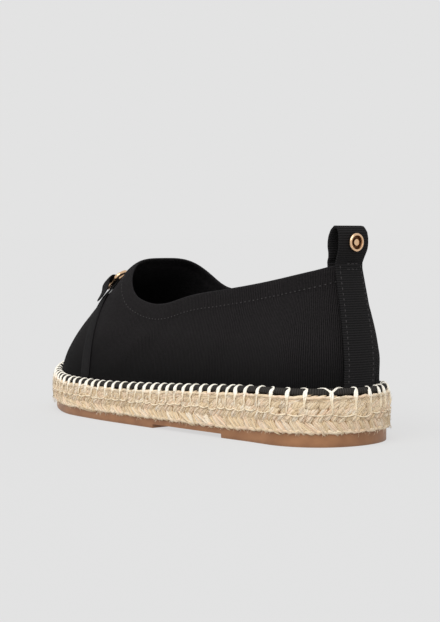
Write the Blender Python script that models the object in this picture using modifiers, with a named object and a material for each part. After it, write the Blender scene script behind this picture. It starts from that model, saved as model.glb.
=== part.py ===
"""Left canvas espadrille: a slip-on with a plaited jute sole on a thin rubber outsole.

The toe points to -Y, the heel to +Y and the wearer's left to +X. The floor is Z = 0, and the origin is
under the middle of the shoe. Sizes here are millimetres, and new_object() turns them into metres.
"from_heel" is the distance forward of the hindmost point of the jute.
"""

import math

import bmesh
import bpy
import numpy as np
from mathutils import Vector

METRES_PER_MM = 0.001
COLLECTION = "espadrille_left"

# Whole shoe
LENGTH = 251.0
HEEL_ROUND = 36.0
HEEL_POWER = 2.1
TOE_ROUND = 70.0
TOE_POWER = 2.2
SIDE_COLUMNS = 32
GAP = 0.3

# Rubber outsole
RUBBER_INSET = 2.1
RUBBER_EDGE = 0.8
WAIST_RECESS = 2.0
WAIST_BACK = 64.5
WAIST_FRONT = 116.0

# Jute sole: edges of the rope rows as shares of its height, and the depth of the grooves between them
ROPE_ROWS = (0.0, 0.27, 0.53, 0.78, 1.0)
ROPE_GROOVE = 1.0

# Upper, insole and the rolled edge round the upper's foot
FEATHER_INSET = 5.6
WALL = 1.8
HEM_WIDTH = 9.0
HEM_EDGE = 0.6
HEM_STEP = 0.45
UPPER_LEVELS = 11
FOOT_CROWDING = 1.2
WELT_HEIGHT = 4.8
INSOLE_THICK = 2.6
INSOLE_EDGE = 0.8

# Opening: its back and front ends, and how far each end is rounded
OPENING_BACK = 14.5
OPENING_FRONT = 162.0
OPENING_BACK_ROUND = 21.5
OPENING_FRONT_ROUND = 24.0
THROAT_POWER = 2.6

# Where the side wall turns into the vamp, by the place of a column's foot
VAMP_BACK = 90.0
VAMP_FRONT = 150.0

# Back strap and pull loop
STRAP_THICK = 1.5
STRAP_FOOT_WIDTH = 20.6
STRAP_TOP_WIDTH = 16.8
STRAP_TUCK = 12.0
STRAP_ROWS = 44
STRAP_COLUMNS = (-1.0, -0.55, 0.0, 0.55, 1.0)
LOOP_BEND = 70.0
RIVET_HEIGHT = 96.0
RIVET_SHANK = 1.4
RIVET_FOOT = 2.2
RIVET_FOOT_THICK = 0.7

# Vamp trim
BIT_FROM_HEEL = 181.0
BIT_SIDE = 18.5
BIT_WIRE = 1.25
RING_RADIUS = 7.6
LIMB_OUT = 2.0
TAB_WIDTH = 9.6
TAB_THICK = 1.2
TAB_FOLD_START = 1.5
LIMB_LIFT = TAB_THICK + BIT_WIRE + 3.5 * GAP


def table(names, *rows):
    return {name: np.array(column, float) for name, column in zip(names, zip(*rows))}


# Half-widths each side of the middle line, and heights
SOLE = table(
    ("from_heel", "lateral", "medial", "tread", "rubber_top", "jute_top"),
    (0.0, 36.0, 36.0, 0.0, 5.3, 24.6),
    (36.0, 36.0, 36.0, 0.0, 5.3, 24.2),
    (65.0, 38.8, 36.5, 0.0, 5.3, 22.8),
    (100.0, 42.2, 37.2, 0.0, 5.2, 20.8),
    (135.0, 44.8, 40.4, 0.0, 5.0, 19.0),
    (165.0, 46.3, 44.6, 0.0, 4.8, 18.0),
    (190.0, 46.0, 47.0, 0.0, 4.8, 18.0),
    (220.0, 43.3, 49.3, 1.4, 6.2, 19.4),
    (251.0, 39.3, 53.3, 5.5, 10.3, 23.5),
)

# One rope row: how far up it, and its share of the groove's depth
ROPE_SIDE = table(
    ("up", "groove"),
    (0.0, 1.0),
    (0.25, 0.15),
    (0.5, 0.0),
    (0.75, 0.15),
)

# Section of the rolled edge: in from the sole's outline, and up as a share of its height
WELT = table(
    ("inset", "up"),
    (FEATHER_INSET - 0.75, 0.0),
    (1.9, 0.0),
    (1.6, 0.3),
    (1.75, 0.65),
    (2.6, 0.92),
    (3.6, 1.0),
    (FEATHER_INSET - 0.95, 0.94),
)

# The last over the vamp: height of its ridge, and how square its sections are
LAST = table(
    ("from_heel", "ridge", "fullness"),
    (120.0, 92.0, 3.3),
    (142.0, 90.5, 3.3),
    (162.0, 87.0, 3.2),
    (175.0, 78.0, 3.0),
    (190.0, 69.0, 2.8),
    (205.0, 60.5, 2.7),
    (220.0, 54.0, 2.6),
    (251.0, 46.5, 2.6),
)

# Topline: how far forward each column of the upper reaches it, by the place of the column's foot
TOPLINE_REACH = table(
    ("foot_from_heel", "reach"),
    (5.6, 14.5),
    (36.0, 36.0),
    (75.0, 74.0),
    (110.0, 107.0),
    (150.0, 135.0),
    (185.0, 151.0),
    (215.0, 159.0),
    (245.4, 162.0),
)
TOPLINE = table(
    ("from_heel", "lateral", "medial", "lateral_height", "medial_height"),
    (14.5, 20.5, 20.5, 86.0, 86.0),
    (20.0, 20.5, 20.5, 83.4, 85.0),
    (28.0, 20.5, 20.5, 81.2, 83.6),
    (50.0, 23.5, 23.2, 76.4, 80.2),
    (72.0, 28.0, 27.0, 72.7, 76.2),
    (88.0, 30.2, 28.7, 70.5, 72.8),
    (108.0, 31.4, 29.4, 68.7, 69.8),
    (128.0, 31.6, 29.8, 68.0, 68.2),
    (162.0, 31.0, 30.6, 70.0, 70.0),
)

# Lean of the heel wall: share of its height against share of its way in to the topline
HEEL_LEAN = table(
    ("up", "inward"),
    (0.0, 0.0),
    (0.18, -0.03),
    (0.24, -0.05),
    (0.33, 0.04),
    (0.44, 0.16),
    (0.59, 0.43),
    (0.76, 0.78),
    (0.86, 0.96),
    (1.0, 1.0),
)

# Side view of the pull loop: out from the collar's back, height above the collar, and its width
PULL_LOOP = table(
    ("out", "height", "width"),
    (3.0, 4.0, 17.4),
    (4.6, 7.3, 18.2),
    (5.0, 10.5, 18.4),
    (4.9, 13.4, 18.2),
    (3.5, 15.8, 17.2),
    (1.7, 16.55, 16.6),
    (-0.3, 15.6, 17.2),
    (-2.1, 12.4, 18.2),
    (-2.9, 8.0, 18.2),
    (-3.2, 3.5, 17.2),
)

# Outer side of the rivet's cap, from its middle: radius, and height above the strap's middle
RIVET_CAP = table(
    ("radius", "height"),
    (0.0, 1.8),
    (2.6, 1.8),
    (3.0, 1.85),
    (3.4, 2.3),
    (3.9, 2.4),
    (4.3, 2.15),
    (4.4, 1.65),
    (4.2, 1.05),
)

# The tab's free end over its own lower layer: how far down, and lift from there (0) to the fold's top (1)
TAB_LAP = table(
    ("down", "lift"),
    (2.2, 0.86),
    (4.2, 0.3),
    (6.5, 0.0),
    (12.0, 0.0),
)

# Corner of the ring between its straight limb and its bow
RING_CORNER = table(
    ("out", "ahead"),
    (0.6, 0.99 * RING_RADIUS),
    (1.5, 0.93 * RING_RADIUS),
    (LIMB_OUT, 0.81 * RING_RADIUS),
)


def along(curves, column, at):
    """A column of a table as a smooth curve of its first one, with no overshoot between rows."""
    x, y = next(iter(curves.values())), curves[column]
    at = np.clip(at, x[0], x[-1])
    step = np.diff(x)
    slope = np.diff(y) / step
    before, after = slope[:-1], slope[1:]
    turning = before * after <= 0
    total = np.where(turning, 1.0, before + after)
    bend = np.where(turning, 0.0, 2 * before * after / total)
    bend = np.concatenate([[slope[0]], bend, [slope[-1]]])
    i = np.clip(np.searchsorted(x, at) - 1, 0, len(step) - 1)
    t = (at - x[i]) / step[i]
    return (
        y[i] * (1 + 2 * t) * (1 - t) ** 2
        + y[i + 1] * t**2 * (3 - 2 * t)
        + step[i] * t * (1 - t) * (bend[i] * (1 - t) - bend[i + 1] * t)
    )


def rounded(distance, radius, power):
    """Half-width share at a distance in from a rounded end."""
    short = np.clip(1 - distance / radius, 0, 1)
    return (1 - short**power) ** (1 / power)


def end_rounding(from_heel):
    heel = rounded(from_heel, HEEL_ROUND, HEEL_POWER)
    return heel * rounded(LENGTH - from_heel, TOE_ROUND, TOE_POWER)


def middle_unshifted(from_heel):
    return (along(SOLE, "lateral", from_heel) - along(SOLE, "medial", from_heel)) / 2


def flank(from_heel):
    return (along(SOLE, "lateral", from_heel) + along(SOLE, "medial", from_heel)) / 2


def box_middle():
    from_heel = np.linspace(0, LENGTH, 500)
    half = flank(from_heel) * end_rounding(from_heel)
    middle = middle_unshifted(from_heel)
    return ((middle + half).max() + (middle - half).min()) / 2


BOX_MIDDLE = box_middle()


def middle(from_heel):
    """The sole's middle line, which curves towards the big toe."""
    return middle_unshifted(from_heel) - BOX_MIDDLE


def outline(inset):
    """The sole's outline drawn in by inset: heel to toe up the lateral side, and back down the medial one."""
    fine = 8
    turn = np.linspace(0, math.pi, SIDE_COLUMNS * fine + 1)
    from_heel = LENGTH * (1 - np.cos(turn)) / 2
    half = flank(from_heel) * end_rounding(from_heel)
    lateral = np.stack([middle(from_heel) + half, LENGTH / 2 - from_heel], 1)
    medial = np.stack([middle(from_heel) - half, LENGTH / 2 - from_heel], 1)
    loop = np.concatenate([lateral, medial[-2:0:-1]])
    tangent = np.roll(loop, -1, 0) - np.roll(loop, 1, 0)
    tangent /= np.linalg.norm(tangent, axis=1)[:, None]
    inward = np.stack([tangent[:, 1], -tangent[:, 0]], 1)
    return (loop + inset * inward)[::fine]


def heel_distance(y):
    """from_heel for a y of the shoe's frame."""
    return LENGTH / 2 - y


def ring(inset, height):
    """One ring of points round the sole; height works out z from the distance to the heel."""
    plan = outline(inset)
    return np.column_stack([plan, height(heel_distance(plan[:, 1]))])


def feather_height(from_heel):
    return along(SOLE, "jute_top", from_heel) + GAP


# Blender objects


def material(name, colour, roughness, metallic=0.0):
    made = bpy.data.materials.new(name)
    made.use_nodes = True
    shader = made.node_tree.nodes["Principled BSDF"]
    shader.inputs["Base Color"].default_value = (*colour, 1.0)
    shader.inputs["Roughness"].default_value = roughness
    shader.inputs["Metallic"].default_value = metallic
    return made


def new_object(name, points, faces, finish, edges=()):
    mesh = bpy.data.meshes.new(name)
    mesh.from_pydata([Vector(p) * METRES_PER_MM for p in points], edges, faces)
    mesh.materials.append(finish)
    mesh.shade_smooth()
    mesh.set_sharp_from_angle(angle=math.radians(40))
    made = bpy.data.objects.new(name, mesh)
    parts.objects.link(made)
    return made


def ladder(first, count, up):
    """Faces that close a ring straight across, lateral point to medial point."""
    faces = []
    for k in range(count // 2):
        left = (first + k, first + k + 1)
        right = (first + (count - k - 1) % count, first + (count - k) % count)
        face = [left[0], left[1], right[0], right[1]]
        face = list(dict.fromkeys(face))
        faces.append(face if not up else face[::-1])
    return faces


def loft(rings, closed=True, tube=False):
    """Points and outward faces of rings stacked from the bottom up; tube joins the last to the first."""
    count = len(rings[0])
    points = np.concatenate(rings)
    faces = []
    for level in range(len(rings) if tube else len(rings) - 1):
        low = level * count
        high = (level + 1) % len(rings) * count
        for k in range(count):
            after = (k + 1) % count
            faces.append((low + k, high + k, high + after, low + after))
    if closed:
        faces += ladder(0, count, up=False)
        faces += ladder(len(points) - count, count, up=True)
    return points, faces


def sheet(rows):
    """Points and faces of an open sheet through rows of points."""
    columns = len(rows[0])
    faces = []
    for k in range(len(rows) - 1):
        for j in range(columns - 1):
            low = k * columns + j
            faces.append((low, low + columns, low + columns + 1, low + 1))
    return np.array(rows).reshape(-1, 3), faces


def face_outwards(obj):
    shape = bmesh.new()
    shape.from_mesh(obj.data)
    bmesh.ops.recalc_face_normals(shape, faces=shape.faces)
    shape.to_mesh(obj.data)
    shape.free()


def solidify(obj, thickness, offset):
    wall = obj.modifiers.new("wall", "SOLIDIFY")
    wall.thickness = thickness * METRES_PER_MM
    wall.offset = offset
    wall.use_even_offset = True


def boolean(obj, other, operation):
    cut = obj.modifiers.new(operation.lower(), "BOOLEAN")
    cut.operation = operation
    cut.object = other
    cut.solver = "EXACT"


def make_cutter(obj):
    for home in obj.users_collection:
        home.objects.unlink(obj)
    cutters.objects.link(obj)
    obj.hide_render = True
    obj.display_type = "WIRE"


for old in list(bpy.data.objects):
    bpy.data.objects.remove(old)

parts = bpy.data.collections.new(COLLECTION)
cutters = bpy.data.collections.new("cutters")
bpy.context.scene.collection.children.link(parts)
bpy.context.scene.collection.children.link(cutters)

CANVAS = material("black_ribbed_canvas", (0.017, 0.015, 0.017), 0.85)
TAPE = material("black_grosgrain_tape", (0.019, 0.017, 0.019), 0.8)
JUTE = material("plaited_jute", (0.62, 0.46, 0.27), 0.9)
RUBBER = material("tan_crepe_rubber", (0.37, 0.2, 0.1), 0.55)
SOCK = material("black_canvas_sock", (0.02, 0.018, 0.02), 0.9)
GILT = material("rose_gilt_brass", (0.83, 0.55, 0.36), 0.25, 1.0)


# Outsole: a thin rubber plate, thinned under the arch, and curled up at the toe


def make_outsole():
    def tread(from_heel):
        return along(SOLE, "tread", from_heel)

    def edge(from_heel):
        return tread(from_heel) + RUBBER_EDGE

    def top(from_heel):
        return along(SOLE, "rubber_top", from_heel)

    rings = [
        ring(RUBBER_INSET + RUBBER_EDGE, tread),
        ring(RUBBER_INSET, edge),
        ring(RUBBER_INSET, top),
    ]
    outsole = new_object("outsole", *loft(rings), RUBBER)
    face_outwards(outsole)

    bpy.ops.mesh.primitive_cube_add(size=1)
    recess = bpy.context.object
    recess.name = "waist_recess"
    middle_of_waist = LENGTH / 2 - (WAIST_BACK + WAIST_FRONT) / 2
    recess.location = Vector((0, middle_of_waist, 0)) * METRES_PER_MM
    recess.scale = Vector((LENGTH, WAIST_FRONT - WAIST_BACK, 2 * WAIST_RECESS)) * METRES_PER_MM
    make_cutter(recess)
    boolean(outsole, recess, "DIFFERENCE")


# Jute sole: rope wound in rows, so the side is ribbed


def make_jute_sole():
    def share(of_height):
        def height(from_heel):
            low = along(SOLE, "rubber_top", from_heel) + GAP
            return low + of_height * (along(SOLE, "jute_top", from_heel) - low)

        return height

    rings = []
    for low, high in zip(ROPE_ROWS, ROPE_ROWS[1:]):
        for up, groove in zip(ROPE_SIDE["up"], ROPE_SIDE["groove"]):
            rings.append(ring(ROPE_GROOVE * groove, share(low + up * (high - low))))
    rings.append(ring(ROPE_GROOVE, share(1.0)))
    face_outwards(new_object("jute_sole", *loft(rings), JUTE))


# Insole: a padded sock that fills the foot of the upper


def make_insole():
    inner = FEATHER_INSET + WALL + 2 * GAP

    def above(rise):
        return lambda from_heel: feather_height(from_heel) + rise

    rings = [
        ring(inner, above(0.0)),
        ring(inner, above(INSOLE_THICK - INSOLE_EDGE)),
        ring(inner + INSOLE_EDGE, above(INSOLE_THICK)),
    ]
    face_outwards(new_object("insole", *loft(rings), SOCK))


# Welt: the canvas edge rolled outwards round the foot of the upper


def make_welt():
    rings = []
    for inset, up in zip(WELT["inset"], WELT["up"]):
        rings.append(ring(inset, lambda from_heel, rise=up * WELT_HEIGHT: feather_height(from_heel) + rise))
    face_outwards(new_object("welt", *loft(rings, closed=False, tube=True), CANVAS))


# Upper: each column runs from the foot of the wall to the topline


def gauge(x, from_heel):
    """0 on the last's middle line and 1 at the foot of the wall, round the toe too."""
    across = np.abs(x - middle(from_heel)) / (flank(from_heel) - FEATHER_INSET)
    past = np.clip(from_heel - (LENGTH - TOE_ROUND), 0, None) / (TOE_ROUND - FEATHER_INSET)
    return np.clip(across**TOE_POWER + past**TOE_POWER, 0, 1) ** (1 / TOE_POWER)


def last_height(x, from_heel):
    """Height of the vamp's outer face."""
    foot = feather_height(from_heel)
    share = 1 - gauge(x, from_heel) ** along(LAST, "fullness", from_heel)
    return foot + (along(LAST, "ridge", from_heel) - foot) * np.sqrt(share)


def topline_points(foot):
    """The point of the topline for each column that starts at foot, in (x, y, z)."""
    reach = along(TOPLINE_REACH, "reach", heel_distance(foot[:, 1]))
    half = (len(foot)) // 2
    side = np.where(np.arange(len(foot)) <= half, 1.0, -1.0)
    lateral = along(TOPLINE, "lateral", reach)
    width = np.where(side > 0, lateral, along(TOPLINE, "medial", reach))
    width = width * rounded(reach - OPENING_BACK, OPENING_BACK_ROUND, 2.0)
    width = width * rounded(OPENING_FRONT - reach, OPENING_FRONT_ROUND, THROAT_POWER)
    x = middle(reach) + side * width
    vamp = vamp_share(heel_distance(foot[:, 1]))
    lateral_z = along(TOPLINE, "lateral_height", reach)
    collar = np.where(side > 0, lateral_z, along(TOPLINE, "medial_height", reach))
    z = (1 - vamp) * collar + vamp * last_height(x, reach)
    return np.column_stack([x, LENGTH / 2 - reach, z])


def vamp_share(foot_from_heel):
    """0 for a column of the quarters, 1 for one of the vamp."""
    t = np.clip((foot_from_heel - VAMP_BACK) / (VAMP_FRONT - VAMP_BACK), 0, 1)
    return t * t * (3 - 2 * t)


def upper_grid(rows):
    """Points of the upper's outer face: [level, column, xyz]. rows are distances, as shares of the way up
    to the hem, followed by the hem's own levels."""
    foot = ring(FEATHER_INSET, feather_height)
    top = topline_points(foot)
    vamp = vamp_share(heel_distance(foot[:, 1]))[:, None]
    way = np.linspace(0, 1, 121)[None, :]
    lean = along(HEEL_LEAN, "inward", way)
    roll = 1 - np.cos(way * math.pi / 2)
    share = (1 - vamp) * lean + vamp * roll
    plan = foot[:, None, :2] + (top - foot)[:, None, :2] * share[..., None]
    straight = foot[:, None, 2] + (top - foot)[:, None, 2] * way
    over = last_height(plan[..., 0], heel_distance(plan[..., 1]))
    curve = np.concatenate([plan, ((1 - vamp) * straight + vamp * over)[..., None]], 2)
    curve[:, -1] = top

    length = np.linalg.norm(np.diff(curve, axis=1), axis=2).cumsum(1)
    length = np.concatenate([np.zeros((len(foot), 1)), length], 1)
    grid = []
    for k in range(len(foot)):
        to_hem = length[k, -1] - HEM_WIDTH
        levels = [to_hem * share for share in rows]
        levels += [to_hem + HEM_EDGE, to_hem + HEM_WIDTH / 2, length[k, -1]]
        grid.append([[np.interp(at, length[k], curve[k, :, axis]) for axis in range(3)] for at in levels])
    return np.array(grid).transpose(1, 0, 2)


def outward(grid):
    """Unit normals of a grid of levels and columns, pointing out of the shoe."""
    round_the_shoe = np.roll(grid, -1, 1) - np.roll(grid, 1, 1)
    up = np.gradient(grid, axis=0)
    normal = np.cross(up, round_the_shoe)
    return normal / np.linalg.norm(normal, axis=2)[..., None]


def make_upper():
    rows = [(k / UPPER_LEVELS) ** FOOT_CROWDING for k in range(UPPER_LEVELS + 1)]
    grid = upper_grid(rows)
    raised = np.zeros(len(grid))
    raised[-3:] = HEM_STEP
    grid = grid + outward(grid) * raised[:, None, None]
    upper = new_object("upper", *loft(list(grid), closed=False), CANVAS)
    solidify(upper, WALL, -1.0)


# Back strap: a tape up the heel, over the collar as the pull loop, and down inside


def back_wall():
    """Side view of the wall's outer face at the heel seam: its y for rising z."""
    column = upper_grid([k / 40 for k in range(41)])[:, 0]
    return column[:, 1], column[:, 2]


def smooth_path(points, count):
    """A curve through points, evenly spaced along its length."""
    points = np.array(points, float)
    chord = np.linalg.norm(np.diff(points[:, :2], axis=0), axis=1)
    at = np.concatenate([[0], chord.cumsum()])
    slope = np.gradient(points, at, axis=0)
    fine = np.linspace(0, at[-1], 400)
    i = np.clip(np.searchsorted(at, fine) - 1, 0, len(chord) - 1)
    step = chord[i][:, None]
    t = ((fine - at[i]) / chord[i])[:, None]
    dense = (
        points[i] * (1 + 2 * t) * (1 - t) ** 2
        + points[i + 1] * t**2 * (3 - 2 * t)
        + step * t * (1 - t) * (slope[i] * (1 - t) - slope[i + 1] * t)
    )
    run = np.concatenate([[0], np.linalg.norm(np.diff(dense[:, :2], axis=0), axis=1).cumsum()])
    evenly = np.linspace(0, run[-1], count)
    return np.column_stack([np.interp(evenly, run, dense[:, k]) for k in range(dense.shape[1])])


def make_back_strap():
    wall_y, wall_z = back_wall()
    collar = along(TOPLINE, "lateral_height", OPENING_BACK)
    start = feather_height(0.0) + WELT_HEIGHT + 2 * GAP
    outside = HEM_STEP + 2 * GAP + STRAP_THICK / 2
    inside = -WALL - 3 * GAP - STRAP_THICK / 2
    heel_centre = LENGTH / 2 - HEEL_ROUND
    path = []
    for z in np.linspace(start, collar, 9):
        y = np.interp(z, wall_z, wall_y)
        taper = (z - start) / (collar - start)
        width = STRAP_FOOT_WIDTH + taper * (STRAP_TOP_WIDTH - STRAP_FOOT_WIDTH)
        path.append((y + outside, z, width, 1 / (y + outside - heel_centre)))
    y_collar = wall_y[-1]
    for out, height, width in zip(PULL_LOOP["out"], PULL_LOOP["height"], PULL_LOOP["width"]):
        path.append((y_collar + out, collar + height, width, 1 / LOOP_BEND))
    for z in np.linspace(collar - GAP, collar - STRAP_TUCK, 4):
        y = np.interp(z, wall_z, wall_y)
        path.append((y + inside, z, STRAP_TOP_WIDTH, 1 / (y + inside - heel_centre)))
    path = smooth_path(path, STRAP_ROWS)

    rows = []
    for y, z, width, bend in path:
        radius = 1 / bend
        rows.append([])
        for share in STRAP_COLUMNS:
            x = share * width / 2
            rows[-1].append((x, y - (radius - math.sqrt(radius**2 - x**2)), z))
    strap = new_object("back_strap", *sheet(rows), TAPE)
    solidify(strap, STRAP_THICK, 0.0)

    bpy.ops.mesh.primitive_cylinder_add(vertices=20, radius=1, depth=1)
    hole = bpy.context.object
    hole.name = "rivet_hole"
    rising = path[: path[:, 1].argmax()]
    rear = np.interp(RIVET_HEIGHT, rising[:, 1], rising[:, 0])
    above = np.interp(RIVET_HEIGHT + 1, rising[:, 1], rising[:, 0])
    below = np.interp(RIVET_HEIGHT - 1, rising[:, 1], rising[:, 0])
    square_on = -math.pi / 2 - math.atan((above - below) / 2)
    across = (RIVET_SHANK + GAP) * METRES_PER_MM
    hole.scale = (across, across, 3 * STRAP_THICK * METRES_PER_MM)
    hole.rotation_euler = (square_on, 0, 0)
    hole.location = Vector((0, rear, RIVET_HEIGHT)) * METRES_PER_MM
    make_cutter(hole)
    boolean(strap, hole, "DIFFERENCE")
    return rear, square_on


# Rivet: a turned cap with a raised rim, its shank through the loop, and a clenched foot


def make_rivet(rear, square_on):
    strap_face = STRAP_THICK / 2 + GAP
    profile = list(zip(RIVET_CAP["radius"], RIVET_CAP["height"]))
    profile += [(RIVET_SHANK, strap_face), (RIVET_SHANK, -strap_face)]
    profile += [(RIVET_FOOT, -strap_face), (0.9 * RIVET_FOOT, -strap_face - 0.85 * RIVET_FOOT_THICK)]
    profile += [(0.0, -strap_face - RIVET_FOOT_THICK)]
    points = [(radius, 0, height) for radius, height in profile]
    edges = [(k, k + 1) for k in range(len(points) - 1)]
    rivet = new_object("rivet", points, [], GILT, edges)
    turn = rivet.modifiers.new("turn", "SCREW")
    turn.steps = turn.render_steps = 24
    turn.use_merge_vertices = True
    turn.merge_threshold = 0.00002
    rivet.rotation_euler = (square_on, 0, 0)
    rivet.location = Vector((0, rear, RIVET_HEIGHT)) * METRES_PER_MM


# Vamp trim: a canvas tab up each side, folded through a ring; a bar joins the two rings


def section_point(turn, from_heel, side):
    """A point of the vamp's section: turn is 0 on the ridge and pi/2 at the foot of the wall."""
    foot = feather_height(from_heel)
    rise = along(LAST, "ridge", from_heel) - foot
    fullness = along(LAST, "fullness", from_heel)
    half = flank(from_heel) - FEATHER_INSET
    x = middle(from_heel) + side * half * math.sin(turn) ** (2 / fullness)
    return np.array([x, LENGTH / 2 - from_heel, foot + rise * math.cos(turn)])


def section_frame(turn, from_heel, side):
    """Point, and unit vectors out of the vamp, down its side and towards the toe."""
    point = section_point(turn, from_heel, side)
    down = section_point(turn + 0.01, from_heel, side) - section_point(turn - 0.01, from_heel, side)
    ahead = section_point(turn, from_heel + 0.5, side) - section_point(turn, from_heel - 0.5, side)
    down /= np.linalg.norm(down)
    ahead /= np.linalg.norm(ahead)
    out = np.cross(ahead, down) * side
    return point, out / np.linalg.norm(out), down, ahead


def section_turns(side):
    """Turn for each distance down the section from where the ring's straight limb lies."""
    turns = np.linspace(0.05, math.pi / 2 - 0.005, 300)
    points = np.array([section_point(turn, BIT_FROM_HEEL, side) for turn in turns])
    run = np.concatenate([[0], np.linalg.norm(np.diff(points, axis=0), axis=1).cumsum()])
    limb = np.interp(BIT_SIDE + LIMB_OUT, side * (points[:, 0] - middle(BIT_FROM_HEEL)), run)
    return run - limb, turns


def make_tab(name, side):
    runs, turns = section_turns(side)
    welt_top = feather_height(BIT_FROM_HEEL) + WELT_HEIGHT + 3 * GAP
    heights = np.array([section_point(turn, BIT_FROM_HEEL, side)[2] for turn in turns])
    lowest = np.interp(-welt_top, -heights, runs)
    flat = GAP + TAB_THICK / 2
    path = [(run, flat) for run in np.linspace(lowest, TAB_FOLD_START, 9)]
    fold = LIMB_LIFT - flat
    for angle in np.linspace(-90, 90, 9):
        turn = math.radians(angle)
        path.append((-fold * math.cos(turn), LIMB_LIFT + fold * math.sin(turn)))
    low = flat + TAB_THICK + GAP
    high = LIMB_LIFT + fold
    path += [(down, low + lift * (high - low)) for down, lift in zip(TAB_LAP["down"], TAB_LAP["lift"])]

    rows = []
    for run, lift in path:
        turn = np.interp(run, runs, turns)
        point, out, down, ahead = section_frame(turn, BIT_FROM_HEEL, side)
        middle_of_row = point + out * lift
        rows.append([middle_of_row + ahead * share * TAB_WIDTH for share in (-0.5, 0.0, 0.5)])
    tab = new_object(name, *sheet(rows), CANVAS)
    solidify(tab, TAB_THICK, 0.0)


def wire(name, points, cyclic):
    """A round wire along points, as a mesh."""
    line = bpy.data.curves.new(name, "CURVE")
    line.dimensions = "3D"
    line.bevel_depth = BIT_WIRE * METRES_PER_MM
    line.bevel_resolution = 2
    line.use_fill_caps = True
    spline = line.splines.new("POLY")
    spline.points.add(len(points) - 1)
    for knot, point in zip(spline.points, points):
        knot.co = (*(Vector(point) * METRES_PER_MM), 1)
    spline.use_cyclic_u = cyclic
    curve = bpy.data.objects.new(name, line)
    parts.objects.link(curve)
    bpy.context.view_layer.update()
    graph = bpy.context.evaluated_depsgraph_get()
    mesh = bpy.data.meshes.new_from_object(curve.evaluated_get(graph))
    bpy.data.objects.remove(curve)
    shape = bmesh.new()
    shape.from_mesh(mesh)
    bmesh.ops.remove_doubles(shape, verts=shape.verts, dist=0.00001)
    bmesh.ops.recalc_face_normals(shape, faces=shape.faces)
    shape.to_mesh(mesh)
    shape.free()
    mesh.materials.clear()
    mesh.materials.append(GILT)
    made = bpy.data.objects.new(name, mesh)
    parts.objects.link(made)
    return made


def ring_path(side):
    """A D-shaped ring: a straight limb on its outer side, which the tab folds round."""
    runs, turns = section_turns(side)
    turn = np.interp(-LIMB_OUT, runs, turns)
    point, out, down, ahead = section_frame(turn, BIT_FROM_HEEL, side)
    limb = section_frame(np.interp(0.0, runs, turns), BIT_FROM_HEEL, side)
    limb_at = limb[0] + limb[1] * LIMB_LIFT
    lift = np.dot(limb_at - point, out)
    shape = [
        (RING_RADIUS * math.cos(angle), RING_RADIUS * math.sin(angle))
        for angle in np.linspace(math.pi / 2, 3 * math.pi / 2, 13)
    ]
    corner = list(zip(RING_CORNER["out"], RING_CORNER["ahead"]))
    shape += [(a, -b) for a, b in corner]
    shape += [(a, b) for a, b in corner[::-1]]
    return [point + out * lift + down * a + ahead * b for a, b in shape]


def make_bit():
    rings = [ring_path(1.0), ring_path(-1.0)]
    lateral = wire("bit", rings[0], cyclic=True)
    medial = wire("medial_ring", rings[1], cyclic=True)
    ends = [np.array(path[6]) for path in rings]
    crown = section_point(0.0, BIT_FROM_HEEL, 1.0)[2] + BIT_WIRE + 3 * GAP
    bar = []
    for t in np.linspace(0, 1, 9):
        point = ends[0] * (1 - t) + ends[1] * t
        point[2] += (crown - (ends[0][2] + ends[1][2]) / 2) * math.sin(math.pi * t)
        bar.append(point)
    middle_bar = wire("bar", bar, cyclic=False)
    for piece in (medial, middle_bar):
        make_cutter(piece)
        boolean(lateral, piece, "UNION")


make_outsole()
make_jute_sole()
make_insole()
make_welt()
make_upper()
make_rivet(*make_back_strap())
make_tab("side_strap_lateral", 1.0)
make_tab("side_strap_medial", -1.0)
make_bit()
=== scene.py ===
"""A left canvas espadrille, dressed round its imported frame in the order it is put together."""

import math
import random

import bmesh
import bpy
import numpy as np
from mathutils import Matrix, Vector
from mathutils.bvhtree import BVHTree


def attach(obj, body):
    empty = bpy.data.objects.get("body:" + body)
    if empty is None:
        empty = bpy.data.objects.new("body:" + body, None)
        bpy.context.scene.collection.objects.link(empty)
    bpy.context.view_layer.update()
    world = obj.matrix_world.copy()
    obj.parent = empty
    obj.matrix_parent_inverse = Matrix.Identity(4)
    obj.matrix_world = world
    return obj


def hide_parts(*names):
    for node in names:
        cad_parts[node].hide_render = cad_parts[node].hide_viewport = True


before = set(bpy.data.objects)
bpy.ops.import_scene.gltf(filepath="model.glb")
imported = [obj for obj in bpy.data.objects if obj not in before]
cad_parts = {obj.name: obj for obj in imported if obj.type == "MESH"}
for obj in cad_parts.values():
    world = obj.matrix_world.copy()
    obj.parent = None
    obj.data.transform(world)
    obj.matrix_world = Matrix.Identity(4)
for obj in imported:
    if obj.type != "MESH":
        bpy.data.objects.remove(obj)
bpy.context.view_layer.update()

# ------------------------------------
# Outsole. A thin sheet of tan rubber, moulded with a shallow tread and cemented
# under the jute. It is flat under the heel and forefoot, hollow at the waist,
# and curls up at the toe.

MM = 0.001
RIM_STEP = 1.0
OUTLINE_STEP = 3.0
RUBBER_INSET = 2.1
RUBBER_EDGE = 0.8
HEEL_LIP = 1.2
LIP_FROM = 70.0
LIP_FULL = 97.0
TOP_PRESSED = 0.3
WAIST_HOLLOW = 2.0
WAIST_FROM = 9.5
WAIST_TO = 61.0
WAIST_STEP = 0.05
TOE_CURL_FROM = -64.5
TOE_CURL_OVER = 61.0
TOE_CURL = 5.5
SOLE_CUTS = (-120.0, 124.0)
TREAD_STRIP = 4.0
TREAD_EDGE = 0.9
TREAD_DEPTH = 0.7
LEAST_STRIP_AREA = 120.0


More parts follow.
